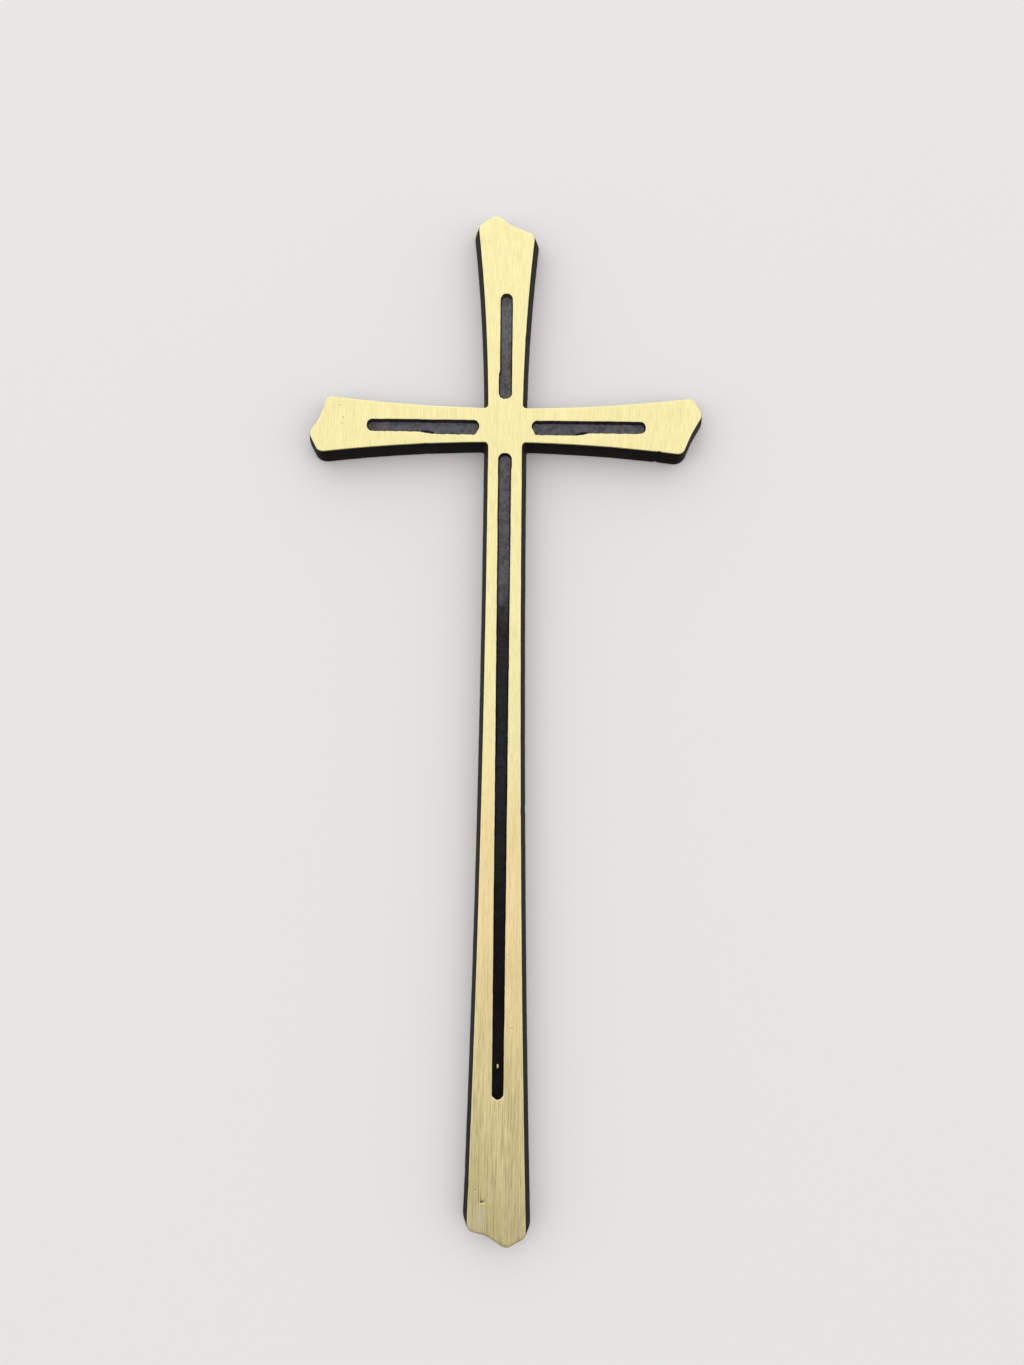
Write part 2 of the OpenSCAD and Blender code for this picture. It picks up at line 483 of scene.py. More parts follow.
# %% The tree that sweeps a section round an edge
wall_tree, given = new_group(
    "section_round_an_edge",
    [
        ("Depth", "Float"),
        ("Draft", "Float"),
        ("Rim Round", "Float"),
        ("Foot Round", "Float"),
        ("Skin Relief", "Float"),
        ("Skin Grain", "Float"),
        ("Seed", "Float"),
        ("Wall Material", "Material"),
        ("Rim Material", "Material"),
    ],
)
rows = RIM_ROWS + WALL_ROWS + FOOT_ROWS + 1
edge = given["Geometry"]
columns = edge.node("GeometryNodeAttributeDomainSize", {"component": "MESH"}, {0: edge})
grid = edge.node(
    "GeometryNodeMeshGrid", None, {"Vertices X": columns + 1, "Vertices Y": rows}
)
index = edge.node("GeometryNodeInputIndex")
column = edge.maths("FLOOR", (index + 0.5) / rows)
row = index - column * rows
column = edge.maths("FLOORED_MODULO", column, columns)


def on_edge(value):
    """A vector of the edge's own points, looked up for each column."""
    settings = {"data_type": "FLOAT_VECTOR", "domain": "POINT"}
    return edge.node(
        "GeometryNodeSampleIndex", settings, {"Geometry": edge, "Value": value, "Index": column}
    )


edge_place = on_edge(edge.node("GeometryNodeInputPosition"))
edge_way = on_edge(
    edge.node("GeometryNodeInputNamedAttribute", {"data_type": "FLOAT_VECTOR"}, {"Name": "way"})
)

quarter = math.pi / 2
rim_turn = (row / RIM_ROWS).clamped() * quarter
wall_share = ((row - RIM_ROWS) / WALL_ROWS).clamped()
foot_turn = ((row - RIM_ROWS - WALL_ROWS) / FOOT_ROWS).clamped() * quarter
rim, foot = given["Rim Round"], given["Foot Round"]
foot_size = edge.maths("ABSOLUTE", foot)

deeper = rim * (1 - edge.maths("COSINE", rim_turn))
deeper += wall_share * (given["Depth"] - rim - foot_size)
deeper += foot_size * edge.maths("SINE", foot_turn)
sideways = given["Draft"] * deeper / given["Depth"]
sideways -= rim * (1 - edge.maths("SINE", rim_turn))
sideways += foot * (1 - edge.maths("COSINE", foot_turn))

shift = edge.node(
    "ShaderNodeVectorMath",
    {"operation": "MULTIPLY_ADD"},
    {
        0: edge_way,
        1: edge.node("ShaderNodeCombineXYZ", None, {0: sideways, 1: sideways, 2: sideways}),
        2: edge.node("ShaderNodeCombineXYZ", None, {"Y": deeper}),
    },
)
place = edge.node("ShaderNodeVectorMath", {"operation": "ADD"}, {0: edge_place, 1: shift})
wall = edge.node("GeometryNodeSetPosition", None, {"Geometry": grid, "Position": place})
wall = edge.node(
    "GeometryNodeStoreNamedAttribute",
    {"data_type": "FLOAT", "domain": "POINT"},
    {"Geometry": wall, "Name": "wall_share", "Value": wall_share},
)
wall = edge.node("GeometryNodeMergeByDistance", None, {"Geometry": wall, "Distance": 0.002 * MM})

share = edge.node("GeometryNodeInputNamedAttribute", {"data_type": "FLOAT"}, {"Name": "wall_share"})
fading = (share * 5).clamped() * ((1 - share) * 5).clamped()
grain = edge.node(
    "ShaderNodeTexNoise",
    {"noise_dimensions": "4D"},
    {"Scale": given["Skin Grain"], "W": given["Seed"], "Detail": 3.0, "Roughness": 0.6},
)
pressed = given["Skin Relief"] * fading * (grain.clamped() * -1)
skin_shift = edge.node(
    "ShaderNodeVectorMath",
    {"operation": "SCALE"},
    {"Vector": edge.node("GeometryNodeInputNormal"), "Scale": pressed},
)
wall = edge.node("GeometryNodeSetPosition", None, {"Geometry": wall, "Offset": skin_shift})
wall = edge.node("GeometryNodeRealizeInstances", None, {"Geometry": wall})
wall = edge.node(
    "GeometryNodeSetMaterial", None, {"Geometry": wall, "Material": given["Wall Material"]}
)
height = edge.node(
    "ShaderNodeSeparateXYZ", None, {0: edge.node("GeometryNodeInputPosition")}, output="Y"
)
on_rim = edge.maths("LESS_THAN", height, rim * 0.8 - THICKNESS * MM)
wall = edge.node(
    "GeometryNodeSetMaterial",
    None,
    {"Geometry": wall, "Selection": on_rim, "Material": given["Rim Material"]},
)
close_group(wall_tree, wall)
print("wall tree has", len(wall_tree.nodes), "nodes and", rows, "rows in its section")

# %% [markdown]
# ## From an edge to a wall
#
# The edge goes in as a mesh of points, each with its own outward direction stored
# as an attribute. The modifier's inputs are set by their identifiers, and the
# finished wall is taken from the evaluated object as a plain mesh.


# %% Make a wall from an edge
patina = bpy.data.materials.new("dark_patina")
brass = bpy.data.materials.new("brushed_brass")
floor_patina = bpy.data.materials.new("groove_patina")
RIM_ROUND = 0.28
GROOVE_RIM_ROUND = 0.16
BACK_ROUND = 0.45
FILLET = 0.55


def in_space(points, y):
    """Points of the plane as metres in space, at depth y in millimetres."""
    points = np.asarray(points)
    return np.column_stack([points[:, 0], np.full(len(points), y), points[:, 1]]) * MM


def run_group(tree, mesh, values):
    """The plain mesh that a Geometry Nodes tree makes from a mesh."""
    holder = bpy.data.objects.new("holder", mesh)
    bpy.context.scene.collection.objects.link(holder)
    modifier = holder.modifiers.new("nodes", "NODES")
    modifier.node_group = tree
    for item in tree.interface.items_tree:
        if item.in_out == "INPUT" and item.name in values:
            modifier[item.identifier] = values[item.name]
    depsgraph = bpy.context.evaluated_depsgraph_get()
    made = bpy.data.meshes.new_from_object(holder.evaluated_get(depsgraph))
    bpy.data.objects.remove(holder)
    return made


def wall_round(points, way, values):
    """The wall that follows an edge in the plane of the face."""
    mesh = bpy.data.meshes.new("edge")
    mesh.from_pydata(in_space(points, -THICKNESS).tolist(), [], [])
    attribute = mesh.attributes.new("way", "FLOAT_VECTOR", "POINT")
    attribute.data.foreach_set("vector", in_space(way / MM, 0).astype(np.float32).ravel())
    return run_group(wall_tree, mesh, values)


parts = [
    wall_round(
        face_edge,
        spread,
        {
            "Depth": THICKNESS * MM,
            "Draft": DRAFT * MM,
            "Rim Round": RIM_ROUND * MM,
            "Foot Round": -BACK_ROUND * MM,
            "Skin Relief": 0.22 * MM,
            "Skin Grain": 420.0,
            "Seed": 1.0,
            "Wall Material": patina,
            "Rim Material": brass,
        },
    )
]
for seed, (points, way) in enumerate(groove_edges.values()):
    values = {
        "Depth": GROOVE_DEPTH * MM,
        "Draft": GROOVE_DRAFT * MM,
        "Rim Round": GROOVE_RIM_ROUND * MM,
        "Foot Round": FILLET * MM,
        "Skin Relief": 0.10 * MM,
        "Skin Grain": 900.0,
        "Seed": 2.0 + seed,
        "Wall Material": floor_patina,
        "Rim Material": brass,
    }
    parts.append(wall_round(points, way, values))
print("walls have", [len(part.polygons) for part in parts], "faces")

# %% [markdown]
# ## The tapped holes in the back
#
# The two studs screw into M6 threads. A thread is a groove that climbs one pitch in
# each turn, so its depth at a point depends only on the point's angle and height.
# The tree bends a grid into a cylinder with that rule, leaves a chamfer at the mouth
# and a drill cone at the bottom, and puts one copy at each point that it is given.

# %% The tree that cuts a tapped hole at every point
HOLE_SIDES = 48
THREAD_ROWS = 54
CONE_ROWS = 4
MOUTH_R = STUD_R + 0.75

thread_tree, given = new_group(
    "tapped_holes",
    [
        ("Core Radius", "Float"),
        ("Thread Height", "Float"),
        ("Pitch", "Float"),
        ("Hole Depth", "Float"),
        ("Mouth Radius", "Float"),
        ("Drill Point", "Float"),
        ("Material", "Material"),
    ],
)
centres = given["Geometry"]
rows = THREAD_ROWS + CONE_ROWS + 1
grid = centres.node(
    "GeometryNodeMeshGrid", None, {"Vertices X": HOLE_SIDES + 1, "Vertices Y": rows}
)
index = centres.node("GeometryNodeInputIndex")
column = centres.maths("FLOOR", (index + 0.5) / rows)
row = index - column * rows
turn = column / HOLE_SIDES

deep = (row / THREAD_ROWS).clamped() * given["Hole Depth"]
cone_share = ((row - THREAD_ROWS) / CONE_ROWS).clamped()
wave = centres.maths("PINGPONG", deep / given["Pitch"] - turn + 4, 0.5) * 2
crest = (wave * 1.7 - 0.35).clamped()
run_out = ((given["Hole Depth"] - deep) / given["Pitch"] - 0.2).clamped()
radius = given["Core Radius"] + given["Thread Height"] * crest * run_out
radius = centres.maths("MAXIMUM", radius, given["Mouth Radius"] - deep)
radius *= 1 - cone_share
deep += cone_share * given["Drill Point"]
angle = turn * (2 * math.pi)
place = centres.node(
    "ShaderNodeCombineXYZ",
    None,
    {
        "X": radius * centres.maths("COSINE", angle),
        "Y": deep * -1,
        "Z": radius * centres.maths("SINE", angle),
    },
)
hole = centres.node("GeometryNodeSetPosition", None, {"Geometry": grid, "Position": place})
hole = centres.node("GeometryNodeMergeByDistance", None, {"Geometry": hole, "Distance": 0.002 * MM})
holes = centres.node("GeometryNodeInstanceOnPoints", None, {"Points": centres, "Instance": hole})
holes = centres.node("GeometryNodeRealizeInstances", None, {"Geometry": holes})
holes = centres.node(
    "GeometryNodeSetMaterial", None, {"Geometry": holes, "Material": given["Material"]}
)
close_group(thread_tree, holes)

# %% Cut the two holes
hole_centres = np.array([(0, CROSSING_Z), (0, CROSSING_Z - STUD_SPACING)])
centre_mesh = bpy.data.meshes.new("hole_centres")
centre_mesh.from_pydata(in_space(hole_centres, 0).tolist(), [], [])
HOLE_DEPTH = 6.0
parts.append(
    run_group(
        thread_tree,
        centre_mesh,
        {
            "Core Radius": STUD_R * MM,
            "Thread Height": 0.5 * MM,
            "Pitch": 1.0 * MM,
            "Hole Depth": HOLE_DEPTH * MM,
            "Mouth Radius": MOUTH_R * MM,
            "Drill Point": STUD_R * math.tan(math.radians(31)) * MM,
            "Material": brass,
        },
    )
)
print("tapped holes at", hole_centres.tolist(), "with", len(parts[-1].polygons), "faces")

# %% [markdown]
# ## Face, back and groove floors
#
# These are flat sheets with an edge and sometimes holes in them. Delaunay
# triangulation joins any points into well-shaped triangles and keeps to the edges
# that it is given. So each sheet gets its exact edge, which will be welded to the
# walls, and a staggered grid of points inside, which carries the relief.


# %% Sheets inside an edge
def inside(points, loop):
    """Which points lie inside a closed loop."""
    x, z = points[:, 0], points[:, 1]
    result = np.zeros(len(points), bool)
    for (x1, z1), (x2, z2) in zip(loop, np.roll(loop, -1, axis=0)):
        crosses = (z1 > z) != (z2 > z)
        if z1 != z2:
            result ^= crosses & (x < (x2 - x1) * (z - z1) / (z2 - z1) + x1)
    return result


def distances(points, others):
    """Distance from each point to the nearest of the others."""
    tree = KDTree(len(others))
    for i, (x, z) in enumerate(others):
        tree.insert((x, z, 0), i)
    tree.balance()
    return np.array([tree.find((x, z, 0))[2] for x, z in points])


RING_POINTS = 14
RING_SHARES = (0.0, 0.2, 0.42, 0.64, 0.84, 1.05)


def sheet_points(loops, spacing, finer=()):
    """A staggered grid inside the first loop and outside the others, with rings in each pit."""
    low, high = loops[0].min(axis=0), loops[0].max(axis=0)
    xs = np.arange(low[0], high[0], spacing)
    zs = np.arange(low[1], high[1], spacing * 0.866)
    grid = np.array([(x + spacing / 2 * (i % 2), z) for i, z in enumerate(zs) for x in xs])
    for x, z, reach in finer:
        grid = grid[np.linalg.norm(grid - (x, z), axis=1) > reach * 1.15]
        angles = np.arange(RING_POINTS) * 2 * math.pi / RING_POINTS
        for share in RING_SHARES:
            twist = angles + share * 3
            ring = np.column_stack([np.cos(twist), np.sin(twist)]) * reach * share + (x, z)
            grid = np.vstack([grid, ring if share else ring[:1]])
    keep = inside(grid, loops[0])
    for loop in loops[1:]:
        keep &= ~inside(grid, loop)
    grid = grid[keep]
    return grid[distances(grid, np.vstack(loops)) > spacing * 0.45]


def sheet(loops, spacing, relief, level, material, finer=(), fade_reach=1.2):
    """A triangulated sheet at a level, moved by a relief that fades out at its edge."""
    edge_points = np.vstack(loops)
    inner = sheet_points(loops, spacing, finer)
    links = []
    start = 0
    for loop in loops:
        n = len(loop)
        links += [(start + i, start + (i + 1) % n) for i in range(n)]
        start += n
    flat = [Vector(p) for p in np.vstack([edge_points, inner]).tolist()]
    verts, _, faces, *_ = delaunay_2d_cdt(flat, links, [], 0, 1e-6)
    points = np.array([tuple(v) for v in verts])
    faces = np.array([tuple(f) for f in faces])
    middles = points[faces].mean(axis=1)
    keep = inside(middles, loops[0])
    for loop in loops[1:]:
        keep &= ~inside(middles, loop)
    fade = np.clip(distances(points, edge_points) / fade_reach, 0, 1)
    place = in_space(points, level)
    place[:, 1] += relief(points) * fade * MM
    mesh = bpy.data.meshes.new("sheet")
    mesh.from_pydata(place.tolist(), [], faces[keep].tolist())
    mesh.materials.append(material)
    return mesh


# %% The ground face, with its pits as (x, z, reach, depth)
SHEET_SPACING = 1.15
PITS = [
    (-63.5, CROSSING_Z + 7.0, 0.55, 0.07),
    (-62.2, CROSSING_Z + 2.4, 0.50, 0.08),
    (-62.6, CROSSING_Z - 0.1, 0.45, 0.07),
    (-61.3, CROSSING_Z - 3.1, 0.35, 0.05),
    (-5.9, CROSSING_Z - 297.9, 0.50, 0.25),
    (-5.2, CROSSING_Z - 297.8, 0.42, 0.20),
    (-8.3, CROSSING_Z - 293.4, 0.40, 0.07),
    (3.4, CROSSING_Z - 203.0, 0.30, 0.08),
    (5.2, CROSSING_Z - 231.5, 0.28, 0.08),
    (-2.1, CROSSING_Z + 66.0, 0.30, 0.07),
    (48.9, CROSSING_Z + 5.1, 0.30, 0.07),
]


def ground_relief(points):
    """Pits in millimetres below the ground face; the face itself is flat."""
    deep = np.zeros(len(points))
    for x, z, reach, depth in PITS:
        distance = np.linalg.norm(points - (x, z), axis=1)
        deep += depth * np.clip(1 - (distance / reach) ** 2, 0, 1) ** 1.5
    return deep


face_loops = [face_edge - spread * RIM_ROUND]
face_loops += [points - way * GROOVE_RIM_ROUND for points, way in groove_edges.values()]
pit_places = [(x, z, reach) for x, z, reach, _ in PITS]
parts.append(sheet(face_loops, SHEET_SPACING, ground_relief, -THICKNESS, brass, pit_places))
print("face has", len(parts[-1].polygons), "triangles and", len(PITS), "pits")


# %% The cast back, round the two holes
CAST_WAVE = 0.16
CAST_GRAIN = 0.10


def cast_relief(points):
    """The sand's own waviness, in millimetres, always into the metal."""
    broad = wander(points, 14, 11.5) * 0.5 + 0.5
    fine = wander(points, 2.6, 31.5) * 0.5 + 0.5
    deep = CAST_WAVE * broad + CAST_GRAIN * fine
    for centre in hole_centres:
        distance = np.linalg.norm(points - centre, axis=1)
        deep *= np.clip((distance - MOUTH_R - 1.2) / 1.5, 0, 1)
    return -np.clip(deep, 0, None)


angles = np.arange(HOLE_SIDES) * 2 * math.pi / HOLE_SIDES
mouth = np.column_stack([np.cos(angles), np.sin(angles)]) * MOUTH_R
back_loops = [face_edge + spread * (DRAFT - BACK_ROUND)]
back_loops += [mouth + centre for centre in hole_centres]
parts.append(sheet(back_loops, SHEET_SPACING, cast_relief, 0.0, patina))
print("back has", len(parts[-1].polygons), "triangles")


# %% The floors of the grooves
RIDGE_HEIGHT = 1.4
RIDGE_WIDTH = 0.36
FLOOR_GRAIN = 0.05


def floor_relief(points):
    """Fine sand grain on a groove floor, and the small ridge at each side groove's step."""
    high = FLOOR_GRAIN * wander(points, 0.9, 5.5) + FLOOR_GRAIN * wander(points, 3.5, 9.5)
    for side in (-1, 1):
        away = points[:, 0] * side
        ridge_z = CROSSING_Z - 2.3 - 0.2 * np.clip(30.0 - away, 0, None)
        across = (points[:, 1] - ridge_z) / RIDGE_WIDTH
        along = np.clip(away - 26.8, 0, 1) * np.clip(33.4 - away, 0, 1)
        high += RIDGE_HEIGHT * along * np.exp(-(across**2))
    return -high


FLOOR_SPACINGS = {"upper": 0.5, "left": 0.32, "long": 0.5, "right": 0.32}
for name, (points, way) in groove_edges.items():
    floor_loop = points + way * (GROOVE_DRAFT + FILLET)
    level = GROOVE_DEPTH - THICKNESS
    spacing = FLOOR_SPACINGS[name]
    parts.append(sheet([floor_loop], spacing, floor_relief, level, floor_patina, fade_reach=0.4))
print("floors have", [len(part.polygons) for part in parts[-4:]], "triangles")

# %% [markdown]
# ## One closed casting
#
# The walls, sheets and holes share their edge points, so welding them closes the
# skin. The weld is checked: on a closed skin every edge has exactly two faces.


# %% Weld the parts into one mesh
def joined(meshes, materials):
    """One welded mesh from several, with the same list of materials."""
    whole = bmesh.new()
    for mesh in meshes:
        before = len(whole.faces)
        whole.from_mesh(mesh)
        whole.faces.ensure_lookup_table()
        slots = [materials.index(m) if m else 0 for m in mesh.materials]
        for made in whole.faces[before:]:
            made.material_index = slots[made.material_index]
    bmesh.ops.remove_doubles(whole, verts=whole.verts, dist=0.004 * MM)
    bmesh.ops.recalc_face_normals(whole, faces=whole.faces)
    open_edges = [e for e in whole.edges if len(e.link_faces) != 2]
    print("edges without exactly two faces:", len(open_edges))
    print("volume in cm3:", round(whole.calc_volume() * 1e6, 2))
    mesh = bpy.data.meshes.new("cross_casting")
    whole.to_mesh(mesh)
    whole.free()
    for material in materials:
        mesh.materials.append(material)
    return mesh


casting_mesh = joined(parts, [brass, patina, floor_patina])
casting_mesh.shade_smooth()
casting_mesh.set_sharp_from_angle(angle=math.radians(50))
cross = bpy.data.objects.new("cross_casting", casting_mesh)
bpy.context.scene.collection.objects.link(cross)
casting_mesh.calc_loop_triangles()
print("casting has", len(casting_mesh.loop_triangles), "triangles")
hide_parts("cross")
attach(cross, "root")

# %% [markdown]
# ## Where the metal is pitted
#
# The pits hold dark residue. Rather than tell the material where each pit is, the
# mesh carries a number at each vertex, 1 in the bottom of a pit and 0 elsewhere,
# and the brass reads that attribute.

# %% Store the pits on the mesh
DARK_DEPTH = 0.12
FACE_SKIN = 0.6
coords = np.empty(len(casting_mesh.vertices) * 3, np.float32)
casting_mesh.vertices.foreach_get("co", coords)
coords = coords.reshape(-1, 3) / MM
on_face = coords[:, 1] < -THICKNESS + FACE_SKIN
pitted = ground_relief(coords[:, [0, 2]]) / DARK_DEPTH * on_face
pit_attribute = casting_mesh.attributes.new("pitted", "FLOAT", "POINT")
pit_attribute.data.foreach_set("value", np.clip(pitted, 0, 1).astype(np.float32))
print("vertices inside pits:", int((pitted > 0).sum()))

# %% [markdown]
# ## Brushed brass
#
# The face was ground with a belt that ran along the upright, over the side limbs
# too, so every line in it is vertical. The lines are noise that is stretched along
# Z: short hair lines, long scratches and broad soft bands. They change the colour a
# little, the roughness, and through Bump the way light spreads. Object coordinates
# keep the pattern fixed to the casting. The rim is painted brighter than the face, a
# painted highlight. Down the long limb the metal first turns warmer, and towards the
# foot it is painted darker, a painted dim reflection, while its long scratches stand
# out more. Each change has a light and a deep tone of its own, and the lines choose
# between the two.

# %% Tones of the metal
BRASS_LIGHT = (0.87, 0.805, 0.43, 1)
BRASS_DEEP = (0.64, 0.55, 0.255, 1)
WARM_LIGHT = (0.90, 0.745, 0.405, 1)
WARM_DEEP = (0.63, 0.49, 0.235, 1)
# tones towards the foot, painted darker as a painted dim reflection
DIM_REFLECTION_LIGHT = (0.90, 0.80, 0.43, 1)
DIM_REFLECTION_DEEP = (0.46, 0.375, 0.185, 1)
BRASS_TARNISH = (0.55, 0.455, 0.20, 1)
# a lighter colour for the rim: a painted highlight
BRASS_RIM_HIGHLIGHT = (0.91, 0.84, 0.52, 1)
BRASS_GREY = (0.74, 0.71, 0.57, 1)
RESIDUE = (0.05, 0.035, 0.02, 1)
print("face tones in pairs:", [BRASS_LIGHT, BRASS_DEEP], [WARM_LIGHT, WARM_DEEP], [DIM_REFLECTION_LIGHT, DIM_REFLECTION_DEEP])


# %% Shader helpers
def start_material(material):
    """An empty node tree, and the object's coordinates in millimetres."""
    material.use_nodes = True
    tree = material.node_tree
    tree.nodes.clear()
    place = add_node(tree, "ShaderNodeTexCoord", output="Object")
    return add_node(
        tree, "ShaderNodeVectorMath", {"operation": "SCALE"}, {"Vector": place, "Scale": 1 / MM}
    )


def cloud(place, size, shift=0.0, detail=2.0, roughness=0.5):
    """Noise whose features are about size = (x, y, z) millimetres."""
    inputs = {0: place, 1: tuple(1 / s for s in size), 2: (shift, shift, shift)}
    moved = place.node("ShaderNodeVectorMath", {"operation": "MULTIPLY_ADD"}, inputs)
    inputs = {"Vector": moved, "Scale": 1.0, "Detail": detail, "Roughness": roughness}
    return place.node("ShaderNodeTexNoise", None, inputs)


def mixed(factor, first, second):
    """A colour between two others."""
    return factor.node("ShaderNodeMix", {"data_type": "RGBA"}, {0: factor, 6: first, 7: second}, 2)


def metal_or_patina(place, colour, metallic, roughness, height, specular):
    """A Principled BSDF with its bump. The height is in millimetres."""
    bump = place.node(
        "ShaderNodeBump", None, {"Strength": 1.0, "Distance": MM, "Height": height}
    )
    return place.node(
        "ShaderNodeBsdfPrincipled",
        None,
        {
            "Base Color": colour,
            "Metallic": metallic,
            "Roughness": roughness,
            "Normal": bump,
            "Specular IOR Level": specular,
        },
    )


def finish_material(shader):
    """Ends a material in its output."""
    output = shader.tree.nodes.new("ShaderNodeOutputMaterial")
    shader.tree.links.new(shader.socket, output.inputs["Surface"])


# %% The brushed face
place = start_material(brass)
axes = [
    place.node("ShaderNodeSeparateXYZ", None, {0: place}, output=axis) for axis in ("X", "Y", "Z")
]
x, y, z = axes

# the belt wandered a degree or two along its way
drift = (cloud(place, (40, 400, 55), 3.0, detail=1.0) - 0.5) * 2.6
lines = place.node("ShaderNodeCombineXYZ", None, {"X": x + drift, "Y": y, "Z": z})
hairs = cloud(lines, (0.45, 9, 6), 1.0, detail=3.0, roughness=0.6)
scratches = cloud(lines, (0.30, 20, 15), 5.0, detail=3.0, roughness=0.6)
bands = cloud(lines, (3.6, 90, 60), 9.0, detail=2.0)
clouds = cloud(place, (16, 60, 28), 13.0, detail=3.0)

# each change along the limb, by how far below the origin it starts and is complete
down = z * -1
# towards the foot the long scratches stand out more, and the face is painted darker there, a painted dim
# reflection
wear_and_dim_reflection = spread_out(down, -70.0, 130.0)
painted_dim_reflection = spread_out(down, 20.0, 165.0)
warm = spread_out(down, -45.0, 30.0) * (1 - spread_out(down, 60.0, 130.0))

line = (hairs - 0.5) * (1.7 - wear_and_dim_reflection * 0.4) + (scratches - 0.5) * (wear_and_dim_reflection * 2.4 + 0.5)
tone = (line + (bands - 0.5) * 0.35 + 0.74 - wear_and_dim_reflection * 0.08).clamped()
light, deep = mixed(painted_dim_reflection, BRASS_LIGHT, DIM_REFLECTION_LIGHT), mixed(painted_dim_reflection, BRASS_DEEP, DIM_REFLECTION_DEEP)
light, deep = mixed(warm, light, WARM_LIGHT), mixed(warm, deep, WARM_DEEP)
colour = mixed(tone, deep, light)
# tarnish grows towards the foot, which adds to the painted darkening there
tarnish = spread_out(clouds * 0.6 + scratches * 0.4, 0.42, 0.64) * (wear_and_dim_reflection * 0.25 + 0.05)
colour = mixed(tarnish, colour, BRASS_TARNISH)

# a grey stain near the foot
STAIN = (-6.7, -162.0)
STAIN_REACH = (4.6, 7.5)
away = place.maths("POWER", (x - STAIN[0]) / STAIN_REACH[0], 2.0)
away += place.maths("POWER", (z - STAIN[1]) / STAIN_REACH[1], 2.0)
stain = (1 - spread_out(away + (clouds - 0.5) * 2, 0.0, 1.3)) * 0.35
colour = mixed(stain, colour, BRASS_GREY)

pit = place.node("ShaderNodeAttribute", {"attribute_name": "pitted"}, output="Fac")
# the rim is painted brighter, a painted highlight where its rounding catches light
rim = spread_out(y + THICKNESS, 0.01, 0.09) * (1 - spread_out(pit, 0.0, 0.05))
colour = mixed(rim * 0.8, colour, BRASS_RIM_HIGHLIGHT)
colour = mixed(spread_out(pit, 0.20, 0.8), colour, RESIDUE)

roughness = 0.34 + line * 0.05 + stain * 0.15 + tarnish * 0.1
height = hairs * 0.008 + scratches * (wear_and_dim_reflection * 0.014 + 0.006)
finish_material(
    metal_or_patina(place, colour, 1 - pit * 0.7, roughness.clamped(0.2, 0.7), height, 0.5)
)
print("brass has", len(brass.node_tree.nodes), "nodes")

# %% [markdown]
# ## Dark patina
#
# The rest of the casting is brown-black. It is oxide on rough sand-cast metal, so
# it is not metallic, and its grain is in the bump and in small changes of gloss.
# Close to the ground face the grinder took some of it off again, which the material
# finds from the depth below the face and a little noise.
#
# The groove floors are the same patina, and two finishes of it share their material.
# The upper grooves have a glossier wax, whose colour is painted lighter with a cool
# tint, a painted sheen of the sky, and at the very top it is painted grey, a stronger
# painted reflection. A third of the way down the long groove the wax ends, so the
# floors are darker towards the foot. A Mix Shader goes from one finish to the other.
# In one place bright metal shows.


# %% The two patinas
def make_patina(material, dark, light, gloss, specular, grain, shift):
    """Patina with its two tones, its roughness and the depth of its grain."""
    place = start_material(material)
    depth = place.node("ShaderNodeSeparateXYZ", None, {0: place}, output="Y") + THICKNESS
    broad = cloud(place, (9, 9, 9), shift, detail=3.0)
    fine = cloud(place, (0.9, 0.9, 0.9), shift + 4, detail=4.0, roughness=0.65)
    sand = cloud(place, (0.34, 0.34, 0.34), shift + 8, detail=2.0)
    tone = spread_out(broad * 0.5 + fine * 0.5, 0.36, 0.66)
    colour = mixed(tone, (*dark, 1), (*light, 1))
    rubbed = 1 - spread_out(depth + (fine - 0.5) * 0.7, 0.20, 0.42)
    colour = mixed(rubbed, colour, BRASS_DEEP)
    roughness = (gloss + (fine - 0.5) * 0.35 + (broad - 0.5) * 0.2).clamped(0.15, 0.9)
    height = fine * grain + sand * (grain * 0.6)
    return place, colour, rubbed, roughness, height, specular


finish_material(
    metal_or_patina(
        *make_patina(patina, (0.004, 0.0035, 0.003), (0.018, 0.014, 0.012), 0.76, 0.06, 0.10, 2.0)
    )
)
print("patina has", len(patina.node_tree.nodes), "nodes")

# %% The floors of the grooves, bare and waxed with a painted sheen
bare_floor = make_patina(
    floor_patina, (0.005, 0.0045, 0.005), (0.015, 0.013, 0.015), 0.70, 0.06, 0.05, 21.0
)
place, colour, metal, roughness, height, specular = bare_floor
SPECK = (-0.15, -104.3)
SPECK_REACH = (0.40, 0.95)
x = place.node("ShaderNodeSeparateXYZ", None, {0: place}, output="X")
z = place.node("ShaderNodeSeparateXYZ", None, {0: place}, output="Z")
away = place.maths("POWER", (x - SPECK[0]) / SPECK_REACH[0], 2.0)
away += place.maths("POWER", (z - SPECK[1]) / SPECK_REACH[1], 2.0)
speck = 1 - spread_out(away, 0.5, 1.1)
bare = metal_or_patina(
    place, mixed(speck, colour, BRASS_LIGHT), (metal + speck).clamped(), roughness, height, specular
)

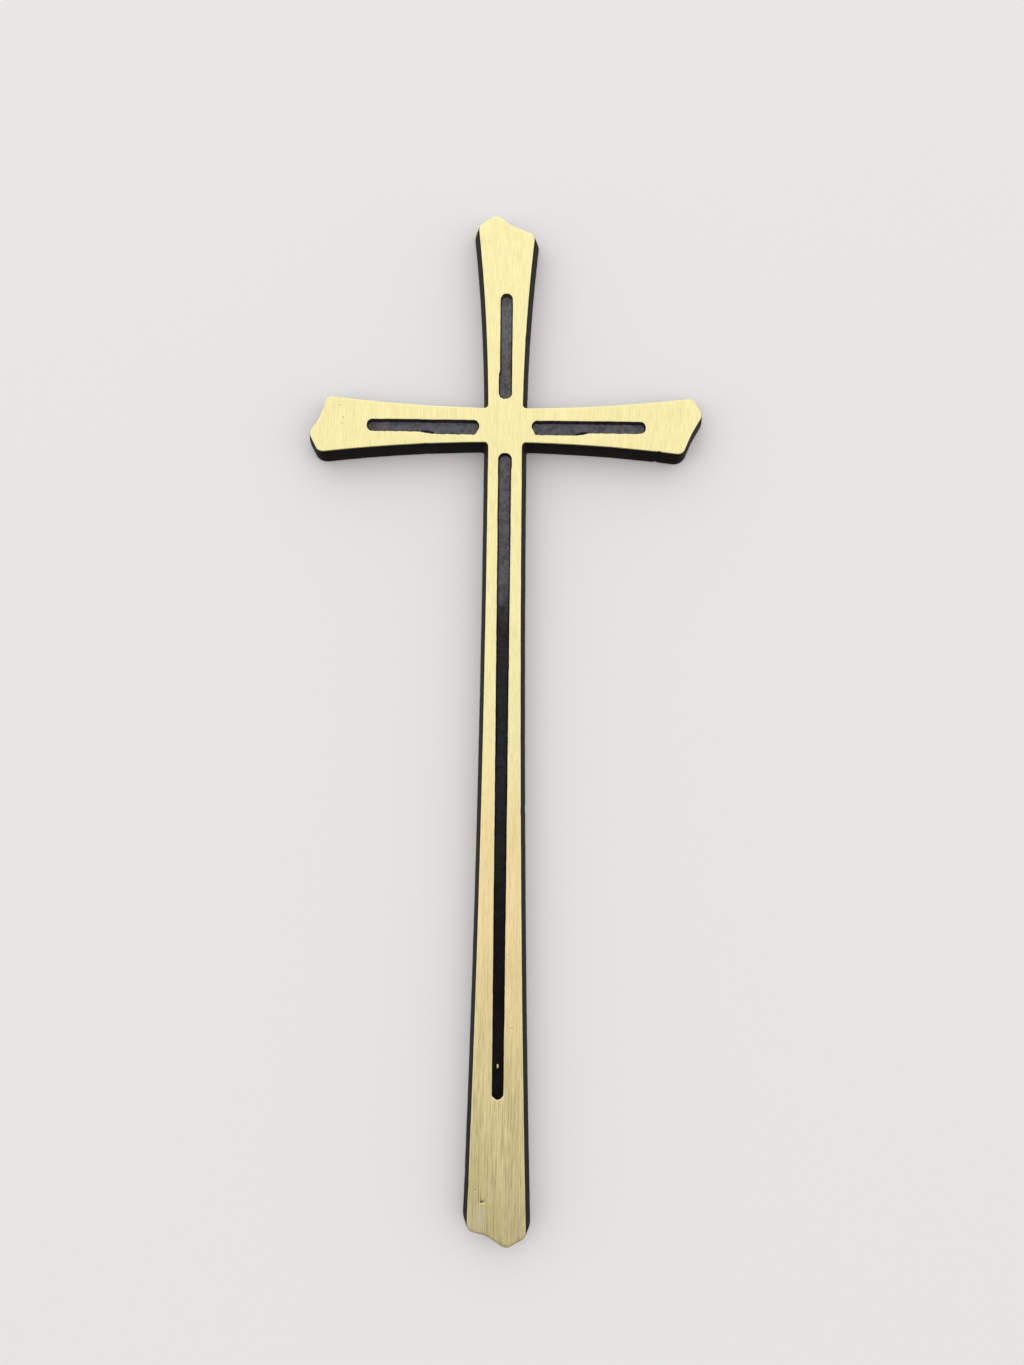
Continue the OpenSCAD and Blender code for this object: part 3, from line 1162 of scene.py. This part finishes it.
# %% The wax and its painted sheen, and where they are
# the wax tones are painted lighter and cooler than the bare floor: a painted sheen of the sky
WAX_DARK = (0.004, 0.004, 0.010, 1)
WAX_SHEEN_LIGHT = (0.048, 0.043, 0.078, 1)
WAX_BROWN = (0.060, 0.036, 0.026, 1)
WAX_SKY_SHEEN_GREY = (0.125, 0.127, 0.132, 1)
mottle = cloud(place, (1.5, 1.5, 1.5), 31.0, detail=4.0, roughness=0.65)
patches = cloud(place, (6.0, 6.0, 6.0), 37.0, detail=2.0)
wax_and_sheen_colour = mixed(spread_out(mottle, 0.38, 0.64), WAX_DARK, WAX_SHEEN_LIGHT)
browned = spread_out(patches, 0.48, 0.66) * spread_out(z, 124.0, 134.0) * 0.6
wax_and_sheen_colour = mixed(browned, wax_and_sheen_colour, WAX_BROWN)
# the very top is painted grey, a painted reflection of the sky
painted_sky_sheen = spread_out(z, 158.0, 188.0) * (mottle * 0.6 + 0.25)
wax_and_sheen_colour = mixed(painted_sky_sheen, wax_and_sheen_colour, WAX_SKY_SHEEN_GREY)
wax_and_sheen_colour = mixed(metal, wax_and_sheen_colour, BRASS_DEEP)
wax_roughness = (0.34 + (mottle - 0.5) * 0.5).clamped(0.15, 0.6)
waxed_with_sheen = metal_or_patina(place, wax_and_sheen_colour, metal, wax_roughness, height, 1.0)

# wax and painted sheen thick above, a trace of them halfway down, thin in places everywhere
thin = cloud(place, (3.0, 3.0, 3.0), 44.0, detail=3.0)
wax_and_sheen = spread_out(z + (thin - 0.5) * 12, 65.0, 84.0) * 0.80 + spread_out(z, -90.0, 20.0) * 0.17
wax_and_sheen = wax_and_sheen * (spread_out(mottle * 0.6 + thin * 0.4, 0.34, 0.60) * 0.45 + 0.60)
finish_material(place.node("ShaderNodeMixShader", None, {0: wax_and_sheen, 1: bare, 2: waxed_with_sheen}))
print("groove patina has", len(floor_patina.node_tree.nodes), "nodes")

# %% [markdown]
# ## A pale wall and floor
#
# The cross is made to be fixed flat against a stone, so it hangs here on a plain
# pale wall that curves forward into a floor. The sheet is seen only by the camera:
# it takes the cross's shadow, but it blocks no light, and it is clear from behind,
# so that the back of the casting can be looked at.

# %% Backdrop
WALL_GAP = 0.0004
WALL_TOP = 1.6
FLOOR_Z = -0.46
COVE_R = 0.20
HALF_SPAN = 1.6
FRONT_REACH = 2.2
COVE_STEPS = 16

profile = [(WALL_GAP, WALL_TOP)]
for i in range(COVE_STEPS + 1):
    angle = math.pi / 2 * i / COVE_STEPS
    y = WALL_GAP - COVE_R * (1 - math.cos(angle))
    profile.append((y, FLOOR_Z + COVE_R * (1 - math.sin(angle))))
profile.append((-FRONT_REACH, FLOOR_Z))
n = len(profile)
verts = [(side, y, z) for side in (-HALF_SPAN, HALF_SPAN) for y, z in profile]
faces = [(i, i + 1, n + i + 1, n + i) for i in range(n - 1)]
sheet_mesh = bpy.data.meshes.new("backdrop")
sheet_mesh.from_pydata(verts, [], faces)
sheet_mesh.shade_smooth()
backdrop = bpy.data.objects.new("backdrop", sheet_mesh)
bpy.context.scene.collection.objects.link(backdrop)
backdrop.visible_diffuse = False
backdrop.visible_glossy = False
backdrop.visible_transmission = False
backdrop.visible_shadow = False

plaster = bpy.data.materials.new("pale_plaster")
plaster.use_nodes = True
tree = plaster.node_tree
tree.nodes.clear()
shade = add_node(
    tree,
    "ShaderNodeBsdfPrincipled",
    None,
    {"Base Color": (0.81, 0.81, 0.80, 1), "Roughness": 0.9, "Specular IOR Level": 0.1},
)
clear = add_node(tree, "ShaderNodeBsdfTransparent")
behind = add_node(tree, "ShaderNodeNewGeometry", output="Backfacing")
surface = add_node(tree, "ShaderNodeMixShader", None, {0: behind, 1: shade, 2: clear})
output = tree.nodes.new("ShaderNodeOutputMaterial")
tree.links.new(surface.socket, output.inputs["Surface"])
sheet_mesh.materials.append(plaster)
print("backdrop normal", tuple(round(c, 2) for c in sheet_mesh.polygons[0].normal))

# %% [markdown]
# ## Light
#
# The cross is lit as it would be out of doors: a bright sky above and dimmer
# surroundings below. A flat polished face is a mirror of the room in front of it,
# so this change from bright to dim makes the top of the face paler than the foot,
# and lights the upper groove floors more than the lower ones. The painted dim
# reflection towards the foot and the painted sheen on the upper groove floors add to
# it. The world's strength depends on the height of the direction, except where the
# camera looks straight at it and it is a plain pale ground. One large soft lamp above
# the camera gives the shadow on the wall.

# %% World
SKY = 1.17
GROUND = 0.19
PALE = 0.97
GROUND_BELOW = -0.72
SKY_ABOVE = -0.20
world = bpy.data.worlds.new("studio")
bpy.context.scene.world = world
world.use_nodes = True
tree = world.node_tree
tree.nodes.clear()
way_up = add_node(tree, "ShaderNodeTexCoord", output="Generated")
way_up = way_up.node("ShaderNodeSeparateXYZ", None, {0: way_up}, output="Z")
strength = spread_out(way_up, GROUND_BELOW, SKY_ABOVE) * (SKY - GROUND) + GROUND
seen = way_up.node("ShaderNodeLightPath", output="Is Camera Ray")
strength = strength + seen * (PALE - strength)
background = way_up.node(
    "ShaderNodeBackground", None, {"Color": (1.0, 0.985, 0.965, 1), "Strength": strength}
)
output = tree.nodes.new("ShaderNodeOutputWorld")
tree.links.new(background.socket, output.inputs["Surface"])
print("sky is", round(SKY / GROUND, 1), "times as bright as the ground")

# %% Lamp
LAMP_SIZE = (1.6, 1.0)
LAMP_POWER = 1.4
LAMP_PLACE = (-0.30, -0.80, 1.25)
LAMP_AIM = (0, 0, 0.03)

lamp_data = bpy.data.lights.new("softbox", "AREA")
lamp_data.shape = "RECTANGLE"
lamp_data.size, lamp_data.size_y = LAMP_SIZE
lamp_data.energy = LAMP_POWER
lamp = bpy.data.objects.new("softbox", lamp_data)
lamp.location = LAMP_PLACE
aim = Vector(LAMP_AIM) - lamp.location
lamp.rotation_euler = aim.to_track_quat("-Z", "Y").to_euler()
bpy.context.scene.collection.objects.link(lamp)
print("lamp of", lamp_data.energy, "W at", tuple(round(c, 2) for c in lamp.location))

# %% [markdown]
# ## Camera
#
# The camera looks straight at the face from about forty centimetres, with a
# moderately wide lens, and is turned by a little over half a degree, so that the
# foot leans to the left. From so close the sides of the casting show all round,
# and the far walls of the grooves show above the crossing.

# %% Camera
CAMERA_DISTANCE = 0.393
CAMERA_X = 0.0037
CAMERA_Z = 0.0439
CAMERA_ROLL = math.radians(0.66)
SENSOR = 36.0
VIEW_HEIGHT = 0.5232

camera_data = bpy.data.cameras.new("camera")
camera_data.sensor_width = SENSOR
camera_data.lens = SENSOR * CAMERA_DISTANCE / VIEW_HEIGHT
camera = bpy.data.objects.new("camera", camera_data)
camera.location = (CAMERA_X, -THICKNESS * MM - CAMERA_DISTANCE, CAMERA_Z)
camera.rotation_euler = (math.radians(90), 0, 0)
camera.rotation_euler.rotate(Matrix.Rotation(-CAMERA_ROLL, 3, "Y"))
bpy.context.scene.collection.objects.link(camera)
bpy.context.scene.camera = camera
bpy.context.scene.view_settings.view_transform = "Standard"
print("lens", round(camera_data.lens, 1), "mm")
